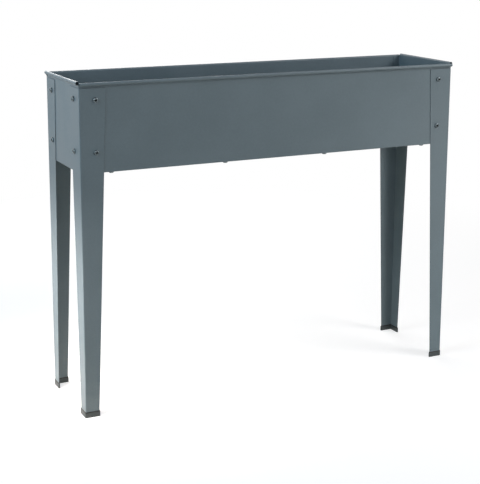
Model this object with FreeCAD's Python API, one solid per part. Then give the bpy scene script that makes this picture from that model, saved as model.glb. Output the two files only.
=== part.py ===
import FreeCAD, Part
import math
import os

# Raised garden bed: a folded sheet-steel trough with rolled rims, bolted to four tapered angle legs.
# Millimetres, +Z up, +X along the trough, front at -Y, origin on the ground under the middle.

# Overall size, over the rolled rims and down to the soles
overall_length = 1000.0
overall_width = 250.0
overall_height = 782.0

# Trough panels
panel_sheet = 0.8
panel_bend = 1.0  # inside radius of every fold
trough_depth = 207.0  # from the top of the end rims to the underside of the ledges
rim_diameter = 8.0
rim_step = 3.0  # from the top of the long panels' rims up to the top of the end panels' rims
rim_gap = 0.3  # between the rolled edge and the wall that it comes back to
ledge_width = 22.0  # fold along the lower edge that carries the floor
return_width = 20.0  # fold at each side of an end panel, behind the long panel
edge_gap = 0.5  # between cut edges that face each other

# Floor
floor_sheet = 0.8
crease_height = 4.0
crease_top = 8.0
crease_slope = 45.0
crease_bend = 2.0
crease_offset = 38.0  # from the middle of the floor to the middle of a crease
drain_diameter = 8.0
drain_columns = 5
drain_end_margin = 90.0

# Legs
leg_sheet = 1.2
leg_bend = 1.0
leg_top_width = 63.0
leg_foot_width = 33.0
leg_top_gap = 4.0  # between the long panels' rims and the top of the leg
leg_corner_radius = 3.0

# Foot boots
boot_height = 14.0
boot_sole = 3.0
boot_wall = 1.2
boot_fit = 0.2
boot_chamfer = 0.8

# Screws and nuts, all of one size and drawn with flat sides, as are their holes
fastener_sides = 12
screw_diameter = 6.0
screw_length = 10.0
head_diameter = 12.0
head_height = 4.2
head_rim = 1.4  # straight part of the head, below its rounded edge
head_flat = 6.0  # across the flat on top
crown_steps = 2
hole_clearance = 0.3
nut_across_flats = 10.0
nut_height = 5.0
thread_clearance = 0.05
leg_screw_inset = 38.0  # from the leg's outer corner
leg_screw_drop = 27.0  # upper screw, below the top of the leg
leg_screw_rise = 47.0  # lower screw, above the underside of the trough
floor_screw_inset = 10.5  # from the outside of the long panels
floor_screw_end = 75.0  # outer screws, from the outside of the end panels
floor_screw_pair = 268.0  # between the two inner screws

# Places worked out from the sizes above
rim_radius = rim_diameter / 2
rim_turn = 360 - math.degrees(math.acos((rim_radius - panel_sheet - rim_gap) / rim_radius))
rim_overhang = rim_diameter - panel_sheet - leg_sheet
leg_x = overall_length / 2 - rim_overhang
leg_y = overall_width / 2 - rim_overhang
wall_x = leg_x - leg_sheet
wall_y = leg_y - leg_sheet
long_top = overall_height - rim_step
leg_top = long_top - rim_diameter - leg_top_gap
trough_bottom = overall_height - trough_depth
panel_fold = panel_bend + panel_sheet
floor_level = trough_bottom + panel_sheet
floor_half_length = wall_x - panel_sheet - panel_bend - edge_gap
floor_half_width = wall_y - 2 * panel_sheet - panel_bend - edge_gap
end_half_flat = wall_y - panel_sheet - panel_fold
side_angle = math.radians(360 / fastener_sides)
leg_screw_heights = (leg_top - leg_screw_drop, trough_bottom + leg_screw_rise)

X = FreeCAD.Vector(1, 0, 0)
Y = FreeCAD.Vector(0, 1, 0)
Z = FreeCAD.Vector(0, 0, 1)
ORIGIN = FreeCAD.Vector(0, 0, 0)


def folded_face(u_axis, v_axis, start, heading, moves, sheet):
    """Cross-section of a folded sheet, drawn in the plane of u_axis and v_axis.

    The middle of the sheet starts at start and follows the moves: ("run", length) goes straight,
    ("fold", degrees, inside radius) turns left, or right where the angle is negative.
    """
    half = sheet / 2
    left_side = []
    right_side = []

    def point(place, normal, offset):
        return u_axis * (place[0] + normal[0] * offset) + v_axis * (place[1] + normal[1] * offset)

    def left_normal(angle):
        return (-math.sin(angle), math.cos(angle))

    place = start
    angle = math.radians(heading)
    first_cap = Part.LineSegment(
        point(place, left_normal(angle), -half), point(place, left_normal(angle), half)
    ).toShape()
    for move in moves:
        if move[0] == "run":
            normal = left_normal(angle)
            ahead = (place[0] + math.cos(angle) * move[1], place[1] + math.sin(angle) * move[1])
            left_side.append(Part.LineSegment(point(place, normal, half), point(ahead, normal, half)))
            right_side.append(Part.LineSegment(point(ahead, normal, -half), point(place, normal, -half)))
            place = ahead
            continue
        turn = math.radians(move[1])
        side = math.copysign(1.0, turn)
        radius = move[2] + half
        normal = left_normal(angle)
        centre = (place[0] + normal[0] * radius * side, place[1] + normal[1] * radius * side)
        normals = [left_normal(angle + turn * share) for share in (0.0, 0.5, 1.0)]
        inward = [point(centre, n, -side * radius + half) for n in normals]
        outward = [point(centre, n, -side * radius - half) for n in reversed(normals)]
        left_side.append(Part.Arc(*inward))
        right_side.append(Part.Arc(*outward))
        place = (centre[0] - normals[2][0] * radius * side, centre[1] - normals[2][1] * radius * side)
        angle += turn
    last_cap = Part.LineSegment(
        point(place, left_normal(angle), half), point(place, left_normal(angle), -half)
    ).toShape()
    edges = [first_cap]
    edges += [curve.toShape() for curve in left_side]
    edges.append(last_cap)
    edges += [curve.toShape() for curve in reversed(right_side)]
    return Part.Face(Part.Wire(edges))


def box_between(low, high):
    """Box with its lowest and highest corners at the two places."""
    size = [top - bottom for bottom, top in zip(low, high)]
    return Part.makeBox(*size, FreeCAD.Vector(*low))


def flat_sided(rings):
    """Solid through regular polygons: each ring is a (radius to the corners, height) pair."""
    angles = [side_angle * side for side in range(fastener_sides)]
    rows = [[FreeCAD.Vector(r * math.cos(a), r * math.sin(a), z) for a in angles] for r, z in rings]
    outlines = [rows[0], rows[-1]]
    for low, high in zip(rows, rows[1:]):
        outlines += [[low[k - 1], low[k], high[k], high[k - 1]] for k in range(fastener_sides)]
    faces = [Part.Face(Part.makePolygon(corners + corners[:1])) for corners in outlines]
    return Part.Solid(Part.makeShell(faces))


def bar(flat_radius, low, high):
    """Flat-sided bar along Z that just holds a round bar of the given radius."""
    corner_radius = flat_radius / math.cos(side_angle / 2)
    return flat_sided(((corner_radius, low), (corner_radius, high)))


def drilled(shape, seats):
    """The shape with a screw hole at each (place, direction) seat."""
    hole = bar(screw_diameter / 2 + hole_clearance, -screw_length, screw_length)
    return shape.cut(set_of(hole, seats))


def edges_at(shape, places):
    """The shape's edges whose middle lies at one of the places."""
    reach = 0.01
    found = []
    for edge in shape.Edges:
        middle = edge.valueAt((edge.FirstParameter + edge.LastParameter) / 2)
        if any(middle.distanceToPoint(place) < reach for place in places):
            found.append(edge)
    return found


def panel_section(outward, wall, top):
    """Ledge, wall and rolled rim of a panel that reaches up to top, with its outer face at wall along outward."""
    moves = (
        ("run", ledge_width - panel_fold),
        ("fold", 90.0, panel_bend),
        ("run", top - rim_radius - trough_bottom - panel_fold),
        ("fold", -rim_turn, rim_radius - panel_sheet),
    )
    start = (wall - ledge_width, trough_bottom + panel_sheet / 2)
    return folded_face(outward, Z, start, 0.0, moves, panel_sheet)


def leg_screw_places():
    """Screw seats of the front left leg, as (place, inward direction) pairs."""
    seats = []
    for height in leg_screw_heights:
        seats.append((FreeCAD.Vector(leg_screw_inset - leg_x, -leg_y, height), Y))
        seats.append((FreeCAD.Vector(-leg_x, leg_screw_inset - leg_y, height), X))
    return seats


def floor_screw_places():
    """Screw seats under the ledges of both long panels."""
    outer = wall_x - floor_screw_end
    inner = floor_screw_pair / 2
    rows = (floor_screw_inset - wall_y, wall_y - floor_screw_inset)
    columns = (-outer, -inner, inner, outer)
    return [(FreeCAD.Vector(x, y, trough_bottom), Z) for y in rows for x in columns]


def front_panel():
    """Long panel: its rim reaches the outside of the legs, its wall stops at their inner corner."""
    panel = panel_section(-Y, wall_y, long_top)
    panel.translate(X * -leg_x)
    panel = panel.extrude(X * (2 * leg_x))
    wall_end = wall_x - leg_bend
    neck = leg_top + edge_gap
    for side in (-1, 1):
        ends = sorted((side * wall_end, side * overall_length))
        panel = panel.cut(box_between((ends[0], -overall_width, 0), (ends[1], 0, neck)))
    seats = [seat for seat in leg_screw_places() if seat[1] == Y]
    seats += [(FreeCAD.Vector(-place.x, place.y, place.z), Y) for place, direction in seats]
    seats += [seat for seat in floor_screw_places() if seat[0].y < 0]
    return drilled(panel, seats)


def left_end_panel():
    """End panel: rim and ledge stop short of the corners, where the wall folds in behind the long panels."""
    panel = panel_section(-X, wall_x, overall_height)
    panel.translate(Y * -end_half_flat)
    panel = panel.extrude(Y * (2 * end_half_flat))
    ledge_half = wall_y - ledge_width - edge_gap
    relief = trough_bottom + panel_fold + edge_gap
    for side in (-1, 1):
        sides = sorted((side * ledge_half, side * overall_width))
        panel = panel.cut(box_between((-overall_length, sides[0], 0), (0, sides[1], relief)))
    moves = (("fold", 90.0, panel_bend), ("run", return_width - panel_fold))
    corner = folded_face(X, Y, (panel_sheet / 2 - wall_x, -end_half_flat), -90.0, moves, panel_sheet)
    corner.translate(Z * relief)
    corner = corner.extrude(Z * (overall_height - rim_diameter - relief))
    panel = panel.fuse([corner, corner.mirror(ORIGIN, Y)]).removeSplitter()
    seats = [seat for seat in leg_screw_places() if seat[1] == X]
    seats += [(FreeCAD.Vector(place.x, -place.y, place.z), X) for place, direction in seats]
    return drilled(panel, seats)


def floor_panel():
    """Floor sheet with two raised creases along it and rows of drain holes in its low flats."""
    slope = math.radians(crease_slope)
    middle_radius = crease_bend + floor_sheet / 2
    flank = (crease_height - 2 * middle_radius * (1 - math.cos(slope))) / math.sin(slope)
    crease_half = crease_top / 2 + flank * math.cos(slope) + 2 * middle_radius * math.sin(slope)
    outer_flat = floor_half_width - crease_offset - crease_half
    crease = (
        ("fold", crease_slope, crease_bend),
        ("run", flank),
        ("fold", -crease_slope, crease_bend),
        ("run", crease_top),
        ("fold", -crease_slope, crease_bend),
        ("run", flank),
        ("fold", crease_slope, crease_bend),
    )
    middle_flat = 2 * (crease_offset - crease_half)
    moves = (("run", outer_flat), *crease, ("run", middle_flat), *crease, ("run", outer_flat))
    start = (-floor_half_width, floor_level + floor_sheet / 2)
    floor = folded_face(Y, Z, start, 0.0, moves, floor_sheet)
    floor.translate(X * -floor_half_length)
    floor = floor.extrude(X * (2 * floor_half_length))
    row = floor_half_width - outer_flat / 2
    reach = floor_half_length - drain_end_margin
    pitch = 2 * reach / (drain_columns - 1)
    drain = Part.makeCylinder(drain_diameter / 2, 3 * floor_sheet, Z * -floor_sheet)
    columns = [column * pitch - reach for column in range(drain_columns)]
    drains = [(FreeCAD.Vector(x, y, floor_level), Z) for x in columns for y in (-row, 0, row)]
    floor = floor.cut(set_of(drain, drains))
    return drilled(floor, floor_screw_places())


def front_left_leg():
    """Angle leg: the folded sheet with both free edges cut to a taper, drilled for its screws."""
    fold = leg_bend + leg_sheet
    height = leg_top - boot_sole
    flange = leg_top_width - fold
    moves = (("run", flange), ("fold", -90.0, leg_bend), ("run", flange))
    leg = folded_face(X, Y, (leg_top_width - leg_x, leg_sheet / 2 - leg_y), 180.0, moves, leg_sheet)
    leg.translate(Z * boot_sole)
    leg = leg.extrude(Z * height)
    outline = (
        (leg_foot_width, boot_sole),
        (leg_top_width, leg_top),
        (2 * leg_top_width, leg_top),
        (2 * leg_top_width, boot_sole),
        (leg_foot_width, boot_sole),
    )
    for along, across in ((X, Y), (Y, X)):
        corner = FreeCAD.Vector(-leg_x, -leg_y, 0) - across * leg_sheet
        waste = Part.Face(Part.makePolygon([corner + along * width + Z * z for width, z in outline]))
        leg = leg.cut(waste.extrude(across * (3 * leg_sheet)))
    for along, across in ((X, Y), (Y, X)):
        tip = FreeCAD.Vector(-leg_x, -leg_y, leg_top) + along * leg_top_width + across * (leg_sheet / 2)
        leg = leg.makeFillet(leg_corner_radius, edges_at(leg, [tip]))
    return drilled(leg, leg_screw_places())


def front_left_boot():
    """Plastic boot: an L-shaped cap with a slot that the end of the leg stands in."""
    proud = boot_fit + boot_wall
    leg_taper = (leg_top_width - leg_foot_width) / (leg_top - boot_sole)
    slot_width = leg_foot_width + leg_taper * (boot_height - boot_sole) + boot_fit
    near = -proud
    far = slot_width + boot_wall
    inner = leg_sheet + proud
    corner = FreeCAD.Vector(-leg_x, -leg_y, 0)
    outline = ((near, near), (far, near), (far, inner), (inner, inner), (inner, far), (near, far))
    points = [corner + X * x + Y * y for x, y in outline]
    boot = Part.Face(Part.makePolygon(points + points[:1])).extrude(Z * boot_height)
    upright = Z * (boot_height / 2)
    boot = boot.makeFillet(leg_bend + leg_sheet + proud, edges_at(boot, [points[0] + upright]))
    ends = [point + upright for point in points[1:3] + points[4:]]
    boot = boot.makeChamfer(boot_chamfer, edges_at(boot, ends))
    top = [edge for edge in boot.Edges if edge.BoundBox.ZMin > boot_height - boot_chamfer]
    boot = boot.makeChamfer(boot_chamfer, top)
    slot_sheet = leg_sheet + 2 * boot_fit
    slot_bend = leg_bend - boot_fit
    run = slot_width - slot_bend - leg_sheet - boot_fit
    moves = (("run", run), ("fold", -90.0, slot_bend), ("run", run))
    start = (slot_width - leg_x, leg_sheet / 2 - leg_y)
    slot = folded_face(X, Y, start, 180.0, moves, slot_sheet)
    slot.translate(Z * boot_sole)
    return boot.cut(slot.extrude(Z * boot_height))


def screw():
    """Pan-head machine screw, seated at the origin with its shank along +Z."""
    head = head_diameter / 2
    flat = head_flat / 2
    shank = screw_diameter / 2
    rise = head_height - head_rim
    turns = [math.radians(90) * step / crown_steps for step in range(crown_steps + 1)]
    rings = [(flat + (head - flat) * math.sin(t), -head_rim - rise * math.cos(t)) for t in turns]
    rings += [(head, 0), (shank, 0), (shank, screw_length)]
    return flat_sided(rings)


def nut(grip):
    """Hexagon nut on the screw at the origin, tightened against a stack of sheets as thick as grip."""
    corner = nut_across_flats / math.sqrt(3)
    turns = [math.radians(60 * side) for side in range(7)]
    hexagon = [FreeCAD.Vector(corner * math.cos(a), corner * math.sin(a), grip) for a in turns]
    body = Part.Face(Part.makePolygon(hexagon)).extrude(Z * nut_height)
    return body.cut(bar(screw_diameter / 2 + thread_clearance, 0, grip + 2 * nut_height))


def set_of(shape, seats):
    """Copies of a shape made along +Z, one at each (place, direction) seat, as separate solids."""
    copies = []
    for place, direction in seats:
        copy = shape.copy()
        copy.Placement = FreeCAD.Placement(place, FreeCAD.Rotation(Z, direction))
        copies.append(copy)
    return Part.makeCompound(copies)


def bed_pieces():
    """Every piece of the bed by name."""
    front = front_panel()
    left = left_end_panel()
    pieces = {
        "front_panel": front,
        "rear_panel": front.mirror(ORIGIN, Y),
        "left_end_panel": left,
        "right_end_panel": left.mirror(ORIGIN, X),
        "floor_panel": floor_panel(),
        "floor_screws": set_of(screw(), floor_screw_places()),
        "floor_nuts": set_of(nut(panel_sheet + floor_sheet), floor_screw_places()),
    }
    corner_pieces = {
        "leg": front_left_leg(),
        "boot": front_left_boot(),
        "leg_screws": set_of(screw(), leg_screw_places()),
        "leg_nuts": set_of(nut(leg_sheet + panel_sheet), leg_screw_places()),
    }
    for name, shape in corner_pieces.items():
        rear = shape.mirror(ORIGIN, Y)
        pieces["front_left_" + name] = shape
        pieces["rear_left_" + name] = rear
        pieces["front_right_" + name] = shape.mirror(ORIGIN, X)
        pieces["rear_right_" + name] = rear.mirror(ORIGIN, X)
    return pieces


os.makedirs("parts", exist_ok=True)
for node, shape in bed_pieces().items():
    shape.exportStep("parts/" + node + ".step")
    solids = [solid for solid in shape.Solids if solid.isValid() and solid.Volume > 0]
    print(node, len(solids), "solids,", round(shape.Volume), "mm3")
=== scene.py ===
"""Raised garden bed: a folded steel trough with rolled rims, on four tapered angle legs in plastic boots.

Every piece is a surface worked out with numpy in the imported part's own frame: +Z up, +X along the trough,
front at -Y. Sizes are in millimetres, and become metres where a surface turns into a mesh.
"""

import logging
import math
from collections.abc import Callable, Iterable, Sequence
from dataclasses import dataclass
from enum import Enum
from typing import Any

import bpy
import numpy as np
from mathutils import Matrix, Vector


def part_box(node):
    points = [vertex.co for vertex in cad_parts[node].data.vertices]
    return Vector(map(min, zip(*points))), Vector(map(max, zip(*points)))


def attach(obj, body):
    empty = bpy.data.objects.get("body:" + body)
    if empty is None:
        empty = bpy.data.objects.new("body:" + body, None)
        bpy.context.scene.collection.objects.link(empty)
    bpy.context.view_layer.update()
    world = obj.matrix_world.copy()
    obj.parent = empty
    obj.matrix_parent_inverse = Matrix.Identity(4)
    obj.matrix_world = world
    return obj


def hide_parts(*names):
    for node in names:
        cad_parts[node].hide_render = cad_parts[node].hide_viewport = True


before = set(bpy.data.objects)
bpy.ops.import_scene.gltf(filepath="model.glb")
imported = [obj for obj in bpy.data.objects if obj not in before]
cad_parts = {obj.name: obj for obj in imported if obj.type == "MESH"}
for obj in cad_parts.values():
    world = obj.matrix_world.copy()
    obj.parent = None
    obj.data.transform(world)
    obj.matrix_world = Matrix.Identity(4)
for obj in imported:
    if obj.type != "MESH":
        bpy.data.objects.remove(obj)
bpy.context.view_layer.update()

MM = 0.001
HOLE_CELLS = 12  # cells of the grid across the square round a hole
HOLE_EDGE = 4  # ring of that square that becomes the hole's edge
HALF_RING = 0.5  # rings are whole numbers, so half of one tells them apart
EDGE_GUARD = 1.5  # from a cut edge to the next row of points
EDGE_ARC = (45.0, 0.0, -45.0)  # degrees of the points on a rounded cut edge, between the sheet's faces
SAME = 0.001  # marks closer than this are one
TINY = 1e-6  # shares and cosines below this count as nothing
SHARP_ANGLE = 38.0  # degrees between two faces, past which their edge stays sharp
GOLDEN_TURN = 2.39996  # radians between one screw's turn and the next
SIDES = (-1, 1)
WHITE = (1.0, 1.0, 1.0, 1.0)
VECTOR_INPUTS = ("Vector", "Normal")  # an effect's inputs that are vectors; the others are numbers
LOG = logging.getLogger("garden_bed")


class Slot(Enum):
    """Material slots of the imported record."""

    POWDER_COAT = "powder_coat"
    ZINC_STEEL = "zinc_steel"
    BOOT_PLASTIC = "boot_plastic"


class Corner(Enum):
    """Corners of the bed, as the signs of X and Y there."""

    FRONT_LEFT = (-1, -1)
    REAR_LEFT = (-1, 1)
    FRONT_RIGHT = (1, -1)
    REAR_RIGHT = (1, 1)

    @property
    def label(self) -> str:
        """Name of the corner, as the nodes have it."""
        return self.name.lower()


class Shading(Enum):
    """How a surface's normals are found: from its formula, or from its faces with sharp edges kept."""

    BY_FORMULA = "by_formula"
    BY_ANGLE = "by_angle"


@dataclass
class Surface:
    """A closed surface in millimetres.

    Each block of faces holds faces with the same number of corners. Two values lie at the points: edge is 1
    on a cut or rubbed edge, and the other is the share of painted shade, 1 where a recess or gap is painted
    fully dark.
    """

    points: np.ndarray
    faces: list[np.ndarray]
    edge: np.ndarray
    painted_shade: np.ndarray
    normals: np.ndarray | None = None

    def volume(self) -> float:
        """Signed volume of the surface.

        Returns:
            A sixth of the sum, over each face's fan of triangles, of the corners' triple products.
        """
        total = 0.0
        for block in self.faces:
            corner = self.points[block]
            cross = np.cross(corner[:, 1:-1], corner[:, 2:])
            total += float(np.einsum("ik,ijk->", corner[:, 0], cross)) / 6
        return total

    def outward(self) -> "Surface":
        """Turns the faces outwards.

        Returns:
            The surface itself.
        """
        if self.volume() < 0:
            self.faces = [block[:, ::-1] for block in self.faces]
        return self

    def placed(self, axes: np.ndarray, place: Sequence[float] = (0, 0, 0)) -> "Surface":
        """A copy with its own axes along the rows of a matrix, moved to a place.

        Args:
            axes: Images of the local X, Y and Z axes, one a row. A mirrored set turns the faces round.
            place: Where the local origin goes.

        Returns:
            The copy.
        """
        flip = np.linalg.det(axes) < 0
        faces = [block[:, ::-1] if flip else block for block in self.faces]
        normals = None if self.normals is None else self.normals @ axes
        return Surface(self.points @ axes + np.asarray(place), faces, self.edge, self.painted_shade, normals)

    def mirrored(self, sign_x: int, sign_y: int) -> "Surface":
        """A copy mirrored across the middle planes whose sign is -1."""
        return self.placed(np.diag([sign_x, sign_y, 1.0]))

    @staticmethod
    def joined(surfaces: Sequence["Surface"]) -> "Surface":
        """Several closed surfaces as one set.

        Args:
            surfaces: Surfaces without normals of their own.

        Returns:
            The set.
        """
        starts = np.cumsum([0] + [len(s.points) for s in surfaces[:-1]])
        faces = [block + start for s, start in zip(surfaces, starts) for block in s.faces]
        keys = ("points", "edge", "painted_shade")
        gathered = {key: np.concatenate([getattr(s, key) for s in surfaces]) for key in keys}
        return Surface(faces=faces, **gathered)

    def mesh(self, name: str, shading: Shading) -> bpy.types.Mesh:
        """Blender mesh of the surface in metres.

        Args:
            name: The mesh's name.
            shading: How its normals are found.

        Returns:
            The mesh, smooth, with the point values edge and hollow.
        """
        mesh = bpy.data.meshes.new(name)
        loops = np.concatenate([block.ravel() for block in self.faces])
        counts = np.concatenate([np.full(len(block), block.shape[1]) for block in self.faces])
        mesh.vertices.add(len(self.points))
        mesh.vertices.foreach_set("co", (self.points * MM).astype(np.float32).ravel())
        mesh.loops.add(len(loops))
        mesh.loops.foreach_set("vertex_index", loops.astype(np.int32))
        mesh.polygons.add(len(counts))
        mesh.polygons.foreach_set("loop_start", (np.cumsum(counts) - counts).astype(np.int32))
        for key in ("edge", "painted_shade"):
            values = mesh.attributes.new(key, "FLOAT", "POINT").data
            values.foreach_set("value", getattr(self, key).astype(np.float32))
        mesh.update(calc_edges=True)
        mesh.shade_smooth()
        if shading is Shading.BY_ANGLE:
            mesh.set_sharp_from_angle(angle=math.radians(SHARP_ANGLE))
        else:
            mesh.normals_split_custom_set_from_vertices(self.normals.astype(np.float32))
        return mesh


@dataclass(frozen=True)
class Move:
    """One move along a folded sheet: a straight run, or a fold of some degrees about a middle radius."""

    length: float = 0.0
    turn: float = 0.0
    radius: float = 0.0

    @property
    def reach(self) -> float:
        """Distance that the middle of the sheet runs in this move."""
        return abs(math.radians(self.turn)) * self.radius if self.turn else self.length

    @property
    def bend(self) -> float:
        """Turn for each millimetre run, left positive."""
        return math.copysign(1 / self.radius, self.turn) if self.turn else 0.0


class Outline:
    """Middle line of a folded sheet in a plane, as a function of the distance along it."""

    def __init__(self, start: tuple[float, float], heading: float, moves: Sequence[Move]) -> None:
        """Steps through the moves once, to find where each one starts.

        Args:
            start: First place on the line.
            heading: First direction, in degrees from the plane's first axis.
            moves: Runs and folds in order.
        """
        turns = [math.radians(move.turn) for move in moves[:-1]]
        self.starts = np.cumsum([0.0] + [move.reach for move in moves])
        self.bends = np.array([move.bend for move in moves])
        self.headings = math.radians(heading) + np.cumsum([0.0] + turns)
        self.places = np.array([start])
        for distance in self.starts[1:-1]:
            self.places = np.vstack([self.places, self.at(distance)[0]])

    @property
    def length(self) -> float:
        """Whole distance along the line."""
        return float(self.starts[-1])

    def at(self, distance: np.ndarray | float) -> tuple[np.ndarray, np.ndarray]:
        """Places and left normals at distances along the line.

        On a run, the place goes straight on from the run's start. On a fold with bend b and first heading
        h, the heading is h + b d after a distance d, and the place moves by the difference of its sine
        and its negative cosine from the first ones, over b. While the line is stepped through, its last
        known move goes on.

        Args:
            distance: Distances from the line's start.

        Returns:
            Places and unit left normals, each with two numbers in its last axis.
        """
        which = np.searchsorted(self.starts, distance, side="right") - 1
        which = np.clip(which, 0, len(self.places) - 1)
        run = distance - self.starts[which]
        bend, first = self.bends[which], self.headings[which]
        heading = first + bend * run
        straight = bend == 0
        over = np.where(straight, 1.0, bend)
        ahead = np.where(straight, run * np.cos(first), (np.sin(heading) - np.sin(first)) / over)
        aside = np.where(straight, run * np.sin(first), (np.cos(first) - np.cos(heading)) / over)
        places = self.places[which] + np.stack([ahead, aside], -1)
        return places, np.stack([-np.sin(heading), np.cos(heading)], -1)

    def fold_marks(self, step: float) -> np.ndarray:
        """Distances through every fold, with the folds' ends among them.

        Args:
            step: Most degrees from one to the next.

        Returns:
            The distances.
        """
        folds = np.flatnonzero(self.bends)
        turns = np.degrees(np.abs(self.bends[folds]) * np.diff(self.starts)[folds])
        marks = [
            np.linspace(self.starts[fold], self.starts[fold + 1], math.ceil(turn / step) + 1)
            for fold, turn in zip(folds, turns)
        ]
        return np.concatenate(marks)


def both(distance: Any, centre: float = 0.0) -> np.ndarray:
    """Places at one or more distances to both sides of a centre."""
    return centre + np.outer(SIDES, distance).ravel()


def guarded(start: float, end: float) -> list[float]:
    """Marks at both cut edges of a sheet, each with its guard row."""
    return [start, start + EDGE_GUARD, end - EDGE_GUARD, end]


def stations(marks: Iterable[Any], step: float) -> np.ndarray:
    """Increasing stations through every mark, with equal steps where two marks stand further apart than step.

    The marks are read by linear interpolation at each whole count of steps.

    Args:
        marks: Numbers or arrays of numbers.
        step: Longest gap between two stations.

    Returns:
        The stations.
    """
    fixed = np.sort(np.concatenate([np.ravel(mark) for mark in marks]))
    fixed = fixed[np.concatenate(([True], np.diff(fixed) > SAME))]
    counts = np.maximum(1, np.ceil(np.diff(fixed) / step - TINY)).astype(int)
    ends = np.concatenate(([0], np.cumsum(counts)))
    return np.interp(np.arange(ends[-1] + 1), ends, fixed)


def concentric(u: np.ndarray, v: np.ndarray) -> tuple[np.ndarray, np.ndarray]:
    """Turns squares about the origin into circles, by the concentric map of a square to a disc.

    Where u is the larger coordinate, the circle's radius is u and the angle a quarter of pi times v over
    u. Where v is the larger, the two change places.

    Args:
        u: First coordinates.
        v: Second coordinates.

    Returns:
        Both coordinates on the circles.
    """
    wide = np.abs(u) >= np.abs(v)
    major, minor = np.where(wide, u, v), np.where(wide, v, u)
    angle = np.pi / 4 * minor / np.where(major == 0, 1.0, major)
    along, aside = major * np.cos(angle), major * np.sin(angle)
    return np.where(wide, along, aside), np.where(wide, aside, along)


@dataclass(frozen=True)
class Hole:
    """Round hole in a flat of a sheet, at distances s and t along the grid's two directions."""

    s: float
    t: float
    radius: float
    reach: float = 5.0

    @classmethod
    def lattice(cls, rows: Iterable[float], columns: Iterable[float], *sizes: float) -> list["Hole"]:
        """Holes of one size wherever a row at some s meets a column at some t."""
        places = [(s, t) for s in rows for t in columns]
        return [cls(s, t, *sizes) for s, t in places]

    def bands(self) -> tuple[np.ndarray, np.ndarray]:
        """Stations of the square round the hole, in both directions."""
        band = np.linspace(-self.reach, self.reach, HOLE_CELLS + 1)
        return self.s + band, self.t + band

    def rounded(self, s: np.ndarray, t: np.ndarray) -> tuple[np.ndarray, np.ndarray, np.ndarray]:
        """Turns square rings of the grid into rings round the hole.

        A ring's place on the circle is its concentric map, brought to the hole's radius. From the hole's
        edge outwards, rings pass from that circle to their own square.

        Args:
            s: First coordinate over the grid.
            t: Second coordinate over the grid.

        Returns:
            Both coordinates after the map, and whether each point is inside the hole or on its edge.
        """
        pitch = 2 * self.reach / HOLE_CELLS
        u, v = (s - self.s) / pitch, (t - self.t) / pitch
        ring = np.maximum(np.abs(u), np.abs(v))
        share = np.clip((ring - HOLE_EDGE) / (HOLE_CELLS / 2 - HOLE_EDGE), 0, 1)
        size = (1 - share) * self.radius / np.maximum(ring, HALF_RING)
        circle_s, circle_t = concentric(u, v)
        new_s = self.s + circle_s * size + u * pitch * share
        new_t = self.t + circle_t * size + v * pitch * share
        return new_s, new_t, ring < HOLE_EDGE + HALF_RING


@dataclass
class SheetGrid:
    """Grid of two distances over a folded sheet, with its holes rounded and each cell kept or cut out."""

    s: np.ndarray
    t: np.ndarray
    keep: np.ndarray

    @classmethod
    def woven(cls, s_marks: list[Any], t_marks: list[Any], holes: Sequence[Hole], step: float) -> "SheetGrid":
        """Grid through marks in both directions and through the squares round the holes.

        Args:
            s_marks: Distances in the first direction that the grid has to pass through.
            t_marks: The same in the second direction.
            holes: Holes to cut.
            step: Longest gap in the grid.

        Returns:
            The grid.
        """
        bands = [hole.bands() for hole in holes]
        rows = stations(s_marks + [band[0] for band in bands], step)
        columns = stations(t_marks + [band[1] for band in bands], step)
        s, t = np.meshgrid(rows, columns, indexing="ij")
        keep = np.ones((len(rows) - 1, len(columns) - 1), bool)
        for hole in holes:
            s, t, inside = hole.rounded(s, t)
            keep &= ~(inside[:-1, :-1] & inside[1:, :-1] & inside[:-1, 1:] & inside[1:, 1:])
        return cls(s, t, keep)

    def centres(self) -> tuple[np.ndarray, np.ndarray]:
        """Both distances at the middles of the cells."""
        return tuple((a[:-1, :-1] + a[1:, 1:]) / 2 for a in (self.s, self.t))


def unit(vectors: np.ndarray) -> np.ndarray:
    """The vectors at length 1."""
    return vectors / np.linalg.norm(vectors, axis=-1, keepdims=True)


def smooth(share: np.ndarray) -> np.ndarray:
    """Smooth step from 0 to 1: with x the share held between them, x squared times 3 less 2 x."""
    held = np.clip(share, 0, 1)
    return held * held * (3 - 2 * held)


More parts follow.
